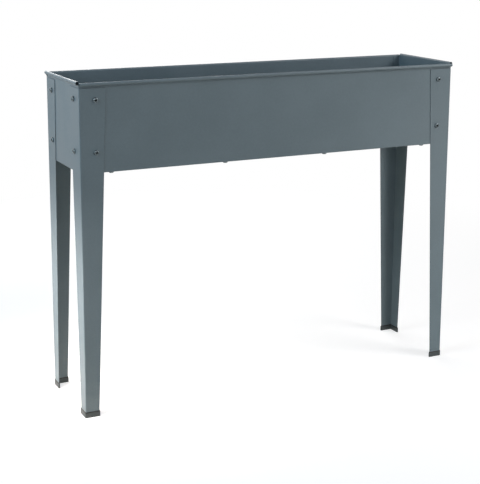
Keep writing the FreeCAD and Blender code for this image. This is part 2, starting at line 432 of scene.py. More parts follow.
def shell(
    middle: np.ndarray, normals: np.ndarray, keep: np.ndarray, sheet: float, painted_shade: np.ndarray | None = None
) -> Surface:
    """Closed skin of a sheet about its middle surface, with every cut edge rounded to half a circle.

    Both faces stand half the sheet away along the normals. At a cut edge the sheet's middle is drawn in
    by half the sheet, and a half circle of that radius in the plane of the normal and the way out of the
    edge joins the faces. At a corner the way out is the sum of its two edges' ways, times 2 over that
    sum's squared length, which mitres it.

    Args:
        middle: Points of the middle surface on a grid of rows and columns.
        normals: Unit normals there.
        keep: Cells of the grid that exist.
        sheet: Thickness.
        painted_shade: Share of painted shade on the face on the normals' side, over the grid; 1 is fully
            dark.

    Returns:
        The skin, with its normals.
    """
    points, up = middle.reshape(-1, 3).copy(), normals.reshape(-1, 3)
    shade_paint = np.zeros(len(points)) if painted_shade is None else painted_shade.ravel()
    index = np.arange(len(points)).reshape(middle.shape[:2])
    quads = np.stack([index[:-1, :-1], index[1:, :-1], index[1:, 1:], index[:-1, 1:]], -1)[keep]
    first, second, fourth = (points[quads[:, k]] for k in (0, 1, 3))
    if np.sum(np.cross(second - first, fourth - first) * up[quads[:, 0]]) < 0:
        quads = quads[:, ::-1]
    tail, tip = quads.ravel(), np.roll(quads, -1, axis=1).ravel()
    single = ~np.isin(tail * len(points) + tip, tip * len(points) + tail)
    tail, tip = tail[single], tip[single]
    out = unit(np.cross(unit(points[tip] - points[tail]), up[tail] + up[tip]))
    way = np.zeros_like(points)
    np.add.at(way, tail, out)
    np.add.at(way, tip, out)
    size = np.sum(way**2, axis=1)
    rim = np.flatnonzero(size > 0)
    way[rim] *= 2 / size[rim, None]
    half = sheet / 2
    points[rim] -= way[rim] * half
    used = np.unique(quads)
    angles = np.radians(EDGE_ARC)[:, None, None]
    turned = [np.cos(angles) * w + np.sin(angles) * up[rim] for w in (way[rim], unit(way[rim]))]
    arc, count, ring = len(EDGE_ARC), len(used), len(rim)
    skin = np.concatenate([points[used] + up[used] * half, points[used] - up[used] * half])
    skin = np.concatenate([skin, (points[rim] + turned[0] * half).reshape(-1, 3)])
    facing = np.concatenate([up[used], -up[used], turned[1].reshape(-1, 3)])
    to_used, to_rim = np.zeros((2, len(points)), int)
    to_used[used], to_rim[rim] = np.arange(count), np.arange(ring)
    levels = [to_used, *(2 * count + k * ring + to_rim for k in range(arc)), count + to_used]
    faces = [to_used[quads], count + to_used[quads][:, ::-1]]
    faces += [np.stack([a[tip], a[tail], b[tail], b[tip]], -1) for a, b in zip(levels, levels[1:])]
    on_rim = np.isin(used, rim).astype(float)
    edge = np.concatenate([on_rim, on_rim, np.ones(arc * ring)])
    recess = np.concatenate([shade_paint[used], np.zeros(count + arc * ring)])
    return Surface(skin, faces, edge, recess, unit(facing)).outward()


def belts(index: np.ndarray, looped: bool = False) -> np.ndarray:
    """Quads between neighbouring rows of points, each row closed on itself.

    Args:
        index: Numbers of the points, one row of the array for each row.
        looped: Whether the last row joins the first.

    Returns:
        The quads' corners.
    """
    low = index if looped else index[:-1]
    high = np.roll(index, -1, axis=0) if looped else index[1:]
    return np.stack([low, np.roll(low, -1, 1), np.roll(high, -1, 1), high], -1).reshape(-1, 4)


def turns(count: int) -> np.ndarray:
    """Equal angles once round, from 0."""
    return np.arange(count) * (2 * np.pi / count)


def lathe(radius: np.ndarray, height: np.ndarray, painted_shade: np.ndarray, looped: bool) -> Surface:
    """Surface about the Z axis from radii and heights over a grid of profile rows and angles.

    A point stands at radius times the cosine and sine of its column's angle. A looped profile's last row
    joins its first; otherwise the first and last rows close on the axis, each in one point at its row's
    mean height.

    Args:
        radius: Radii, one row a profile point and one column an angle.
        height: Heights in the same layout.
        painted_shade: Share of painted shade at each point, in the same layout.
        looped: Whether the profile is a closed loop.

    Returns:
        The closed surface.
    """
    rows, columns = radius.shape
    angle = turns(columns)
    points = np.stack([radius * np.cos(angle), radius * np.sin(angle), height], -1).reshape(-1, 3)
    index = np.arange(rows * columns).reshape(rows, columns)
    faces = [belts(index, looped)]
    values = painted_shade.ravel()
    if not looped:
        poles = np.array([[0, 0, height[0].mean()], [0, 0, height[-1].mean()]])
        first, last = len(points), len(points) + 1
        points = np.concatenate([points, poles])
        values = np.concatenate([values, [painted_shade[0].mean(), painted_shade[-1].mean()]])
        start, end = index[0], index[-1]
        faces.append(np.stack([np.roll(start, -1), start, np.full(columns, first)], -1))
        faces.append(np.stack([end, np.roll(end, -1), np.full(columns, last)], -1))
    return Surface(points, faces, np.zeros(len(points)), values).outward()


@dataclass(frozen=True)
class BedFrame:
    """Places that several pieces share: the sheets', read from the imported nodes, and the screws'."""

    leg_x: float
    leg_y: float
    leg_foot: float
    leg_top: float
    trough_bottom: float
    long_top: float
    end_top: float
    leg_sheet: float = 1.2
    panel_sheet: float = 0.8
    screw_hole: float = 3.3
    screw_inset: float = 38.0  # from a leg's outer corner
    screw_heights: tuple[float, float] = (740.0, 622.0)
    floor_screw_columns: tuple[float, float] = (417.8, 134.0)  # to both sides of the bed's middle
    floor_screw_inset: float = 10.5  # from the outside of a long panel

    @classmethod
    def packed(cls) -> "BedFrame":
        """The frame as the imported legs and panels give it.

        Returns:
            The frame.
        """
        nodes = ("front_left_leg", "front_panel", "left_end_panel")
        leg, long_panel, end_panel = (np.array(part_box(node)) / MM for node in nodes)
        tops = (long_panel[1, 2], end_panel[1, 2])
        return cls(-leg[0, 0], -leg[0, 1], leg[0, 2], leg[1, 2], long_panel[0, 2], *tops)

    @property
    def wall_x(self) -> float:
        """Outside of the end panels, against the legs."""
        return self.leg_x - self.leg_sheet

    @property
    def wall_y(self) -> float:
        """Outside of the long panels, against the legs."""
        return self.leg_y - self.leg_sheet


class NodeSketch:
    """Shorthand for drawing a shader node tree."""

    def __init__(self, tree: bpy.types.NodeTree) -> None:
        """Starts on a tree, which keeps the nodes it has."""
        self.tree = tree

    def node(self, kind: str, inputs: dict[Any, Any] | None = None, **settings: Any) -> bpy.types.Node:
        """Adds a node.

        Args:
            kind: Blender's name of the node type.
            inputs: Socket by name or number, with a value or with another node's output to link.
            **settings: Properties of the node, set before its inputs.

        Returns:
            The node.
        """
        made = self.tree.nodes.new(kind)
        for key, value in settings.items():
            setattr(made, key, value)
        for key, value in (inputs or {}).items():
            if isinstance(value, bpy.types.NodeSocket):
                self.tree.links.new(value, made.inputs[key])
            else:
                made.inputs[key].default_value = value
        return made

    def math(self, operation: str, first: Any, second: Any, clamp: bool = False) -> bpy.types.NodeSocket:
        """Result of a Math node on two values."""
        given = {0: first, 1: second}
        return self.node("ShaderNodeMath", given, operation=operation, use_clamp=clamp).outputs[0]

    def weighted(self, first: Any, second: Any, share: float) -> bpy.types.NodeSocket:
        """Sum of two values, the first by its share and the second by the rest."""
        parts = (self.math("MULTIPLY", first, share), self.math("MULTIPLY", second, 1 - share))
        return self.math("ADD", *parts)

    def mix(self, share: Any, first: Any, second: Any) -> bpy.types.NodeSocket:
        """Colour that passes from the first to the second as share goes from 0 to 1."""
        return self.node("ShaderNodeMix", {0: share, 6: first, 7: second}, data_type="RGBA").outputs[2]

    def ramp(
        self, value: Any, low: float, high: float, to: Sequence[float] = (0.0, 1.0)
    ) -> bpy.types.NodeSocket:
        """Smooth step of a value from low to high, put out between two other values."""
        ends = {"Value": value, "From Min": low, "From Max": high, "To Min": to[0], "To Max": to[1]}
        return self.node("ShaderNodeMapRange", ends, interpolation_type="SMOOTHSTEP").outputs[0]

    def noise(self, vector: Any, scale: Any, detail: float, rough: float = 0.5) -> bpy.types.NodeSocket:
        """Value of a noise texture."""
        given = {"Vector": vector, "Scale": scale, "Detail": detail, "Roughness": rough}
        return self.node("ShaderNodeTexNoise", given).outputs[0]

    def attribute(self, name: str) -> bpy.types.NodeSocket:
        """Value that lies at a piece's points under a name."""
        return self.node("ShaderNodeAttribute", attribute_name=name).outputs["Fac"]


@dataclass(frozen=True)
class Effect:
    """A shader effect that several finishes use: a node group that is built once.

    fill draws the group's inside from the sketch and the group's input sockets, and gives the output.
    """

    name: str
    inputs: tuple[str, ...]
    output: str
    fill: Callable[[NodeSketch, dict[str, Any]], bpy.types.NodeSocket]

    def place(self, sketch: NodeSketch, **values: Any) -> bpy.types.NodeSocket:
        """Puts the effect into a material.

        Args:
            sketch: The material's nodes.
            **values: The effect's inputs by name, as values or as sockets.

        Returns:
            The effect's output there.
        """
        tree = bpy.data.node_groups.get(self.name) or self.build()
        return sketch.node("ShaderNodeGroup", values, node_tree=tree).outputs[0]

    def build(self) -> bpy.types.NodeTree:
        """Builds the node group.

        Returns:
            The group.
        """
        tree = bpy.data.node_groups.new(self.name, "ShaderNodeTree")
        for name in self.inputs:
            kind = "NodeSocketVector" if name in VECTOR_INPUTS else "NodeSocketFloat"
            tree.interface.new_socket(name=name, in_out="INPUT", socket_type=kind)
        tree.interface.new_socket(name=self.output, in_out="OUTPUT", socket_type="NodeSocketFloat")
        sketch = NodeSketch(tree)
        given = sketch.node("NodeGroupInput")
        result = self.fill(sketch, {name: given.outputs[name] for name in self.inputs})
        sketch.node("NodeGroupOutput", {0: result})
        return tree


def fill_peel(sketch: NodeSketch, given: dict[str, Any]) -> bpy.types.NodeSocket:
    """Two sizes of grain: three parts of the fine one to two parts of one four times as coarse.

    Args:
        sketch: The group's nodes.
        given: The group's input sockets by name.

    Returns:
        Height of the grain.
    """
    coarse_scale = sketch.math("MULTIPLY", given["Scale"], 0.25)
    fine = sketch.noise(given["Vector"], given["Scale"], detail=2.0)
    coarse = sketch.noise(given["Vector"], coarse_scale, detail=1.0)
    return sketch.weighted(fine, coarse, share=0.6)


def fill_mottle(sketch: NodeSketch, given: dict[str, Any]) -> bpy.types.NodeSocket:
    """Broad cloudy noise with a speckle, 30 times as fine, over a third of it.

    Args:
        sketch: The group's nodes.
        given: The group's input sockets by name.

    Returns:
        Share of the lighter colour.
    """
    speckle_scale = sketch.math("MULTIPLY", given["Scale"], 30.0)
    broad = sketch.noise(given["Vector"], given["Scale"], detail=4.0, rough=0.55)
    speckle = sketch.noise(given["Vector"], speckle_scale, detail=2.0)
    return sketch.ramp(sketch.weighted(broad, speckle, share=0.67), low=0.32, high=0.68)


def fill_wear_and_edge_shade(sketch: NodeSketch, given: dict[str, Any]) -> bpy.types.NodeSocket:
    """The edge value less a noise, so that the edge marks fray out, times the amount.

    Args:
        sketch: The group's nodes.
        given: The group's input sockets by name.

    Returns:
        How far the edge colour covers the finish; on the powder coat it is partly painted shade of the seams.
    """
    fray = sketch.noise(given["Vector"], given["Scale"], detail=5.0, rough=0.65)
    wear_and_edge_shade = sketch.math("SUBTRACT", given["Edge"], sketch.math("MULTIPLY", fray, 1.1))
    return sketch.math("MULTIPLY", sketch.ramp(wear_and_edge_shade, low=0.1, high=0.55), given["Amount"])


def fill_dust(sketch: NodeSketch, given: dict[str, Any]) -> bpy.types.NodeSocket:
    """How far a face looks up, times a cloudy noise and the amount.

    Args:
        sketch: The group's nodes.
        given: The group's input sockets by name.

    Returns:
        How far dust covers the finish.
    """
    upward = sketch.node("ShaderNodeSeparateXYZ", {0: given["Normal"]}).outputs[2]
    cloud = sketch.noise(given["Vector"], given["Scale"], detail=6.0, rough=0.6)
    lying = (sketch.ramp(upward, low=0.35, high=0.95), sketch.ramp(cloud, low=0.35, high=0.75))
    return sketch.math("MULTIPLY", sketch.math("MULTIPLY", *lying), given["Amount"])


PEEL = Effect("Peel", ("Vector", "Scale"), "Height", fill_peel)
MOTTLE = Effect("Mottle", ("Vector", "Scale"), "Value", fill_mottle)
WEAR_AND_EDGE_SHADE = Effect("EdgeWearAndShade", ("Vector", "Edge", "Scale", "Amount"), "Mask", fill_wear_and_edge_shade)
DUST = Effect("Dust", ("Vector", "Normal", "Scale", "Amount"), "Mask", fill_dust)


def tone(colour: tuple[int, int, int]) -> tuple[float, float, float, float]:
    """Linear colour of an sRGB one, by the usual power of 2.4 above a short straight part.

    Args:
        colour: Red, green and blue in 255ths.

    Returns:
        Red, green, blue and a full alpha.
    """
    shares = np.array(colour) / 255
    linear = np.where(shares <= 0.04045, shares / 12.92, ((shares + 0.055) / 1.055) ** 2.4)
    return (*(float(x) for x in linear), 1.0)


def linked(name: str, data: bpy.types.ID) -> bpy.types.Object:
    """Puts a new object with some data into the scene.

    Args:
        name: The object's name.
        data: Its mesh, light or camera.

    Returns:
        The object.
    """
    made = bpy.data.objects.new(name, data)
    bpy.context.scene.collection.objects.link(made)
    return made


@dataclass(frozen=True)
class Finish:
    """A finish: two close colours that mottle, an edge colour (rubbed finish, and on the powder coat also
    painted seam shade), a colour of painted shade for recesses and gaps, a dusty colour, and the sizes of its
    grain.

    Colours are sRGB in 255ths, scales are counts a metre, and the peel's depth is in millimetres. The
    gloss is the roughness of the darker and the lighter colour.
    """

    name: str
    slot: Slot
    dark: tuple[int, int, int]
    light: tuple[int, int, int]
    # colour at cut and rubbed edges; on the powder coat it is darker, partly painted shade of the seams
    wear_and_edge_shade: tuple[int, int, int]
    # colour of painted shade, laid over recesses and gaps
    shade_paint: tuple[int, int, int]
    dust: tuple[int, int, int]
    mottle_scale: float
    peel_scale: float
    peel_depth: float
    gloss: tuple[float, float]
    wear: float
    dust_cover: float
    metal: float = 0.0
    specular: float = 0.5
    peel_strength: float = 0.6
    wear_scale: float = 160.0
    dust_scale: float = 18.0
    dust_rough: float = 0.35

    def material(self) -> bpy.types.Material:
        """The finish's material, built on first use.

        Returns:
            The material: mottled colour, rubbed edges that on the powder coat are partly painted seam shade,
            painted shade in recesses and gaps, dust on faces that look up, and a fine peel as bump.
        """
        made = bpy.data.materials.get(self.name)
        if made is not None:
            return made
        made = bpy.data.materials.new(self.name)
        made.use_nodes = True
        sketch = NodeSketch(made.node_tree)
        shader = made.node_tree.nodes["Principled BSDF"]
        place = sketch.node("ShaderNodeTexCoord").outputs["Object"]
        facing = sketch.node("ShaderNodeNewGeometry").outputs["Normal"]
        edge, painted_shade = (sketch.attribute(name) for name in ("edge", "painted_shade"))
        mottle = MOTTLE.place(sketch, Vector=place, Scale=self.mottle_scale)
        wear_and_edge_shade = WEAR_AND_EDGE_SHADE.place(sketch, Vector=place, Edge=edge, Scale=self.wear_scale, Amount=self.wear)
        dusty = DUST.place(sketch, Vector=place, Normal=facing, Scale=self.dust_scale, Amount=self.dust_cover)
        colour = sketch.mix(mottle, tone(self.dark), tone(self.light))
        # Over the mottle go the edge marks, then painted shade in recesses and gaps, then dust.
        for share, over in ((wear_and_edge_shade, self.wear_and_edge_shade), (painted_shade, self.shade_paint), (dusty, self.dust)):
            colour = sketch.mix(share, colour, tone(over))
        rough = sketch.ramp(mottle, 0.0, 1.0, self.gloss)
        rough = sketch.math("ADD", rough, sketch.math("MULTIPLY", dusty, self.dust_rough), clamp=True)
        peel = PEEL.place(sketch, Vector=place, Scale=self.peel_scale)
        bump = {"Strength": self.peel_strength, "Distance": self.peel_depth * MM, "Height": peel}
        normal = sketch.node("ShaderNodeBump", bump).outputs[0]
        shader.inputs["Metallic"].default_value = self.metal
        shader.inputs["Specular IOR Level"].default_value = self.specular
        for socket, value in {"Base Color": colour, "Roughness": rough, "Normal": normal}.items():
            made.node_tree.links.new(value, shader.inputs[socket])
        return made

    def piece(self, surface: Surface, name: str, node: str, shading: Shading) -> None:
        """Puts a surface into the scene in this finish.

        Args:
            surface: The piece's surface.
            name: The piece's name.
            node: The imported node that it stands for.
            shading: How its normals are found.
        """
        made = linked(name, surface.mesh(name, shading))
        made.data.materials.append(self.material())
        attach(made, "root")
        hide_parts(node)
        low, high = (np.array(corner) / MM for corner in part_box(node))
        off = max(np.abs(surface.points.min(0) - low).max(), np.abs(surface.points.max(0) - high).max())
        LOG.info("%s: %d points, box within %.2f mm of its node", name, len(surface.points), off)

    def at_corners(self, surface: Surface, kind: str, suffix: str, shading: Shading) -> None:
        """Puts a piece of the front left corner into the scene at all four corners.

        Args:
            surface: The front left piece's surface.
            kind: Last part of the nodes' names.
            suffix: What the pieces' names add to the nodes'.
            shading: How the normals are found.
        """
        for corner in Corner:
            sign_x, sign_y = corner.value
            node = f"{corner.label}_{kind}"
            self.piece(surface.mirrored(-sign_x, -sign_y), f"{node}_{suffix}", node, shading)


POWDER_COAT = Finish(
    name="powder_coat_blue_grey",
    slot=Slot.POWDER_COAT,
    dark=(100, 115, 122),
    light=(106, 121, 128),
    # darker at the cut edges: the coat rubbed thin there, and painted shade of the seams along the legs'
    # edges
    wear_and_edge_shade=(66, 77, 84),
    shade_paint=(24, 27, 29),
    dust=(150, 152, 148),
    mottle_scale=7.0,
    peel_scale=850.0,
    peel_depth=0.05,
    gloss=(0.36, 0.46),
    wear=0.85,
    dust_cover=0.10,
    specular=0.35,
)
ZINC_STEEL = Finish(
    name="zinc_plated_steel",
    slot=Slot.ZINC_STEEL,
    dark=(80, 88, 91),
    light=(101, 110, 113),
    wear_and_edge_shade=(118, 126, 128),
    shade_paint=(9, 14, 15),
    dust=(140, 138, 132),
    mottle_scale=90.0,
    peel_scale=1600.0,
    peel_depth=0.03,
    gloss=(0.17, 0.27),
    wear=0.4,
    dust_cover=0.06,
    metal=1.0,
)
BOOT_PLASTIC = Finish(
    name="moulded_grey_plastic",
    slot=Slot.BOOT_PLASTIC,
    dark=(49, 56, 57),
    light=(56, 64, 64),
    wear_and_edge_shade=(80, 88, 88),
    shade_paint=(20, 21, 22),
    dust=(142, 140, 134),
    mottle_scale=40.0,
    peel_scale=2600.0,
    peel_depth=0.06,
    gloss=(0.42, 0.56),
    wear=0.5,
    dust_cover=0.2,
)


@dataclass(frozen=True)
class Trough:
    """Two long panels, two end panels and the floor sheet."""

    bed: BedFrame
    bend: float = 1.0
    rim: float = 8.0
    rim_gap: float = 0.3
    # painted shade inside the rolled rim, along the roll: from where it starts to where it is fully dark
    rim_shade_span: tuple[float, float] = (2.0, 5.0)  # along the roll, from where it darkens to where it is dark
    ledge: float = 22.0
    back_fold: float = 20.0
    gap: float = 0.5
    wall_cut: float = 1.0  # from a long wall's end to the outside of the end panel
    crease_height: float = 4.0
    crease_top: float = 8.0
    crease_slope: float = 45.0
    crease_bend: float = 2.0
    crease_offset: float = 38.0
    drain: float = 4.0
    drain_reach: float = 6.0
    drain_columns: int = 5
    drain_margin: float = 90.0
    wave: float = 0.35
    second_wave: float = 0.6  # as a share of the first
    wave_rates: tuple[float, float, float] = (3.1, 7.3, 2.2)  # both waves along a wall, the second up it
    wave_turns: tuple[float, float, float, float] = (0.4, 0.4 + 1.5 * np.pi, 1.3, 1.3 + 0.5 * np.pi)
    calm_ends: tuple[float, float] = (80.0, 66.0)  # from a leg's corner, in long and end walls
    calm_bottom: float = 8.0
    calm_top: float = 20.0
    step: float = 30.0
    rim_step: float = 7.5  # degrees in a fold from one row of points to the next
    corner_step: float = 9.0
    crease_step: float = 11.25

    @property
    def sheet(self) -> float:
        """Thickness of the panels and the floor."""
        return self.bed.panel_sheet

    @property
    def fold(self) -> float:
        """Outside radius of a fold."""
        return self.bend + self.sheet

    @property
    def fold_middle(self) -> float:
        """Radius of a fold in the middle of the sheet."""
        return self.bend + self.sheet / 2

    @property
    def rim_turn(self) -> float:
        """Degrees that the rim rolls through before its edge comes back to the wall but for the gap.

        A full turn less the angle whose cosine is the rolled edge's distance from the rim's middle plane
        over its radius.
        """
        radius = self.rim / 2
        return 360 - math.degrees(math.acos((radius - self.sheet - self.rim_gap) / radius))

    def section(self, wall: float, top: float) -> Outline:
        """Ledge, wall and rolled rim of a panel, in the plane of outward and up.

        Args:
            wall: Where the panel's outer face stands.
            top: Height of its rim.

        Returns:
            The section's middle line.
        """
        bottom = self.bed.trough_bottom
        moves = (
            Move(length=self.ledge - self.fold),
            Move(turn=90.0, radius=self.fold_middle),
            Move(length=top - self.rim / 2 - bottom - self.fold),
            Move(turn=-self.rim_turn, radius=(self.rim - self.sheet) / 2),
        )
        return Outline((wall - self.ledge, bottom + self.sheet / 2), 0.0, moves)

    def up_wall(self, section: Outline, height: float) -> float:
        """Distance along a section to a height on its wall."""
        return float(section.starts[2]) + height - self.bed.trough_bottom - self.fold

    def shade_in_rim(self, section: Outline, distance: np.ndarray) -> np.ndarray:
        """Share of painted shade on the outer face inside the rolled rim, at distances along a section, from
        0 to 1.
        """
        start, end = self.rim_shade_span
        return np.clip((distance - section.starts[3] - start) / (end - start), 0, 1)

    def section_marks(self, section: Outline) -> list[Any]:
        """Distances that a panel's grid has to pass through along its section."""
        return [*guarded(0.0, section.length), section.fold_marks(self.rim_step)]

    def wall_holes(self, section: Outline, corner: float, centre: float = 0.0) -> list[Hole]:
        """Holes in a panel's wall for the screws of both legs.

        Args:
            section: The panel's section.
            corner: Distance from the wall's middle to the legs' outer corners.
            centre: Where the wall's middle is along the grid.

        Returns:
            The holes.
        """
        rows = [self.up_wall(section, height) for height in self.bed.screw_heights]
        return Hole.lattice(rows, both(corner - self.bed.screw_inset, centre), self.bed.screw_hole)

    def swell(
        self, across: np.ndarray, height: np.ndarray, left: np.ndarray, reach: float, turn: float
    ) -> np.ndarray:
        """How far a thin wall swells out, in millimetres.

        A sum of two slow waves along the wall, times one arch over its height and one over its length, so
        that it is nothing at the folds and under the legs.

        Args:
            across: Place along the wall.
            height: Height above the ground.
            left: The section's normals, which lie level on the wall.
            reach: Half the length that swells.
            turn: Angle that sets one panel's waves off from another's.

        Returns:
            Distance outwards.
        """
        slow, quick, climb = self.wave_rates
        low, high = self.bed.trough_bottom + self.calm_bottom, self.bed.long_top - self.calm_top
        share = np.clip(across / reach, -1, 1)
        up = np.clip((height - low) / (high - low), 0, 1)
        waves = np.sin(slow * share + turn)
        waves += self.second_wave * np.sin(quick * share - 2 * turn + climb * up)
        arch = np.sin(np.pi * up) ** 2 * np.cos(np.pi / 2 * share) ** 2
        return self.wave * waves * arch * (np.abs(left[..., 1]) < TINY)

    def long_panel(self, turn: float) -> Surface:
        """Front panel: the section carried along X, with its wall cut back under the rim's ends.

        A point is (t, minus outward, up), where outward and up are the section at distance s.

        Args:
            turn: Angle that sets this panel's waves off from another's.

        Returns:
            The panel's surface.
        """
        bed = self.bed
        section = self.section(bed.wall_y, bed.long_top)
        wall_end = bed.wall_x - self.wall_cut
        neck = self.up_wall(section, bed.leg_top + self.gap)
        ledge_row = self.ledge - bed.floor_screw_inset
        holes = self.wall_holes(section, bed.leg_x)
        holes += Hole.lattice([ledge_row], both(bed.floor_screw_columns), bed.screw_hole)
        s_marks = self.section_marks(section) + [neck - EDGE_GUARD, neck, neck + EDGE_GUARD]
        t_marks = [both([bed.leg_x, wall_end, wall_end - EDGE_GUARD])]
        grid = SheetGrid.woven(s_marks, t_marks, holes, self.step)
        s_mid, t_mid = grid.centres()
        grid.keep &= (s_mid > neck) | (np.abs(t_mid) < wall_end)
        place, left = section.at(grid.s)
        out = place[..., 0] + self.swell(grid.t, place[..., 1], left, bed.leg_x - self.calm_ends[0], turn)
        middle = np.stack([grid.t, -out, place[..., 1]], -1)
        normals = np.stack([np.zeros_like(grid.t), left[..., 0], -left[..., 1]], -1)
        # the inside of the rolled rim is painted in shade
        return shell(middle, normals, grid.keep, self.sheet, self.shade_in_rim(section, grid.s))

    def end_panel(self, turn: float) -> Surface:
        """Left end panel: the section carried along Y, its wall folded in behind both long panels.

        The plan of the wall is a second folded line at distance t. A point is that line's place, moved
        out along -X by how far the section at distance s stands off the wall. Cells that would fold both
        ways are cut out.

        Args:
            turn: Angle that sets this panel's waves off from another's.

        Returns:
            The panel's surface.
        """
        bed = self.bed
        section = self.section(bed.wall_x, bed.end_top)
        flat = bed.wall_y - self.sheet - self.fold
        run, corner = Move(length=self.back_fold - self.fold), Move(turn=-90.0, radius=self.fold_middle)
        plan_start = (self.back_fold - bed.wall_x, -flat - self.fold_middle)
        plan = Outline(plan_start, 180.0, (run, corner, Move(length=2 * flat), corner, run))
        centre = plan.length / 2
        relief = self.up_wall(section, bed.trough_bottom + self.fold + self.gap)
        rim = self.up_wall(section, bed.end_top - self.rim)
        ledge_half = bed.wall_y - self.ledge - self.gap
        sides = [ledge_half, ledge_half - EDGE_GUARD, flat - EDGE_GUARD, flat]
        s_marks = self.section_marks(section) + [relief, relief + EDGE_GUARD, rim, rim - EDGE_GUARD]
        t_marks = [*guarded(0.0, plan.length), plan.fold_marks(self.corner_step), both(sides, centre)]
        grid = SheetGrid.woven(s_marks, t_marks, self.wall_holes(section, bed.leg_y, centre), self.step)
        s_mid, t_mid = grid.centres()
        off_centre = np.abs(t_mid - centre)
        grid.keep &= (s_mid > relief) | (off_centre < ledge_half)
        grid.keep &= (s_mid < rim) | (off_centre < flat)
        place, left = section.at(grid.s)
        ground, side = plan.at(grid.t)
        across = grid.t - centre
        on_flat = np.abs(across) < flat + SAME
        waves = self.swell(across, place[..., 1], left, bed.leg_y - self.calm_ends[1], turn)
        out = place[..., 0] - (bed.wall_x - self.sheet / 2) + waves * on_flat
        middle = np.stack([ground[..., 0] - out, ground[..., 1], place[..., 1]], -1)
        zero = np.zeros_like(grid.s)
        up_and_down = np.stack([left[..., 0], zero, -left[..., 1]], -1)
        round_about = np.stack([side[..., 0], side[..., 1], zero], -1)
        normals = np.where(on_flat[..., None], up_and_down, round_about)
        # the inside of the rolled rim is painted in shade
        return shell(middle, normals, grid.keep, self.sheet, self.shade_in_rim(section, grid.s))

    def floor(self) -> Surface:
        """Floor sheet: a section with two raised creases carried along X, with drain and screw holes.

        A point is (t, across, up), where across and up are the section at distance s.

        Returns:
            The floor's surface.
        """
        bed = self.bed
        half_length = bed.wall_x - self.sheet - self.bend - self.gap
        half_width = bed.wall_y - 2 * self.sheet - self.bend - self.gap
        radius, slope = self.crease_bend + self.sheet / 2, math.radians(self.crease_slope)
        flank = (self.crease_height - 2 * radius * (1 - math.cos(slope))) / math.sin(slope)
        crease_half = self.crease_top / 2 + flank * math.cos(slope) + 2 * radius * math.sin(slope)
        outer = half_width - self.crease_offset - crease_half
        inner = 2 * (self.crease_offset - crease_half)
        side, middle, top, flank = (Move(length=x) for x in (outer, inner, self.crease_top, flank))
        up, down = (Move(turn=way * self.crease_slope, radius=radius) for way in (1, -1))
        crease = (up, flank, down, top, down, flank, up)
        start = (-half_width, bed.trough_bottom + self.sheet + self.sheet / 2)
        section = Outline(start, 0.0, (side, *crease, middle, *crease, side))
        far, screw_row = section.length, half_width - bed.wall_y + bed.floor_screw_inset
        holes = Hole.lattice([screw_row, far - screw_row], both(bed.floor_screw_columns), bed.screw_hole)
        drain_rows = [outer / 2, far / 2, far - outer / 2]
        drain_columns = np.linspace(-1, 1, self.drain_columns) * (half_length - self.drain_margin)
        holes += Hole.lattice(drain_rows, drain_columns, self.drain, self.drain_reach)
        s_marks = [*guarded(0.0, far), section.fold_marks(self.crease_step)]
        grid = SheetGrid.woven(s_marks, guarded(-half_length, half_length), holes, self.step)
        place, left = section.at(grid.s)
        points = np.stack([grid.t, place[..., 0], place[..., 1]], -1)
        normals = np.stack([np.zeros_like(grid.t), left[..., 0], left[..., 1]], -1)
        return shell(points, normals, grid.keep, self.sheet)

    def build(self) -> None:
        """Builds the trough's five sheets and dresses them."""
        front, rear, left, right = self.wave_turns
        sheets = {
            "front_panel": self.long_panel(front),
            "rear_panel": self.long_panel(rear).mirrored(1, -1),
            "left_end_panel": self.end_panel(left),
            "right_end_panel": self.end_panel(right).mirrored(-1, 1),
            "floor_panel": self.floor(),
        }
        for node, surface in sheets.items():
            POWDER_COAT.piece(surface, node + "_sheet", node, Shading.BY_FORMULA)


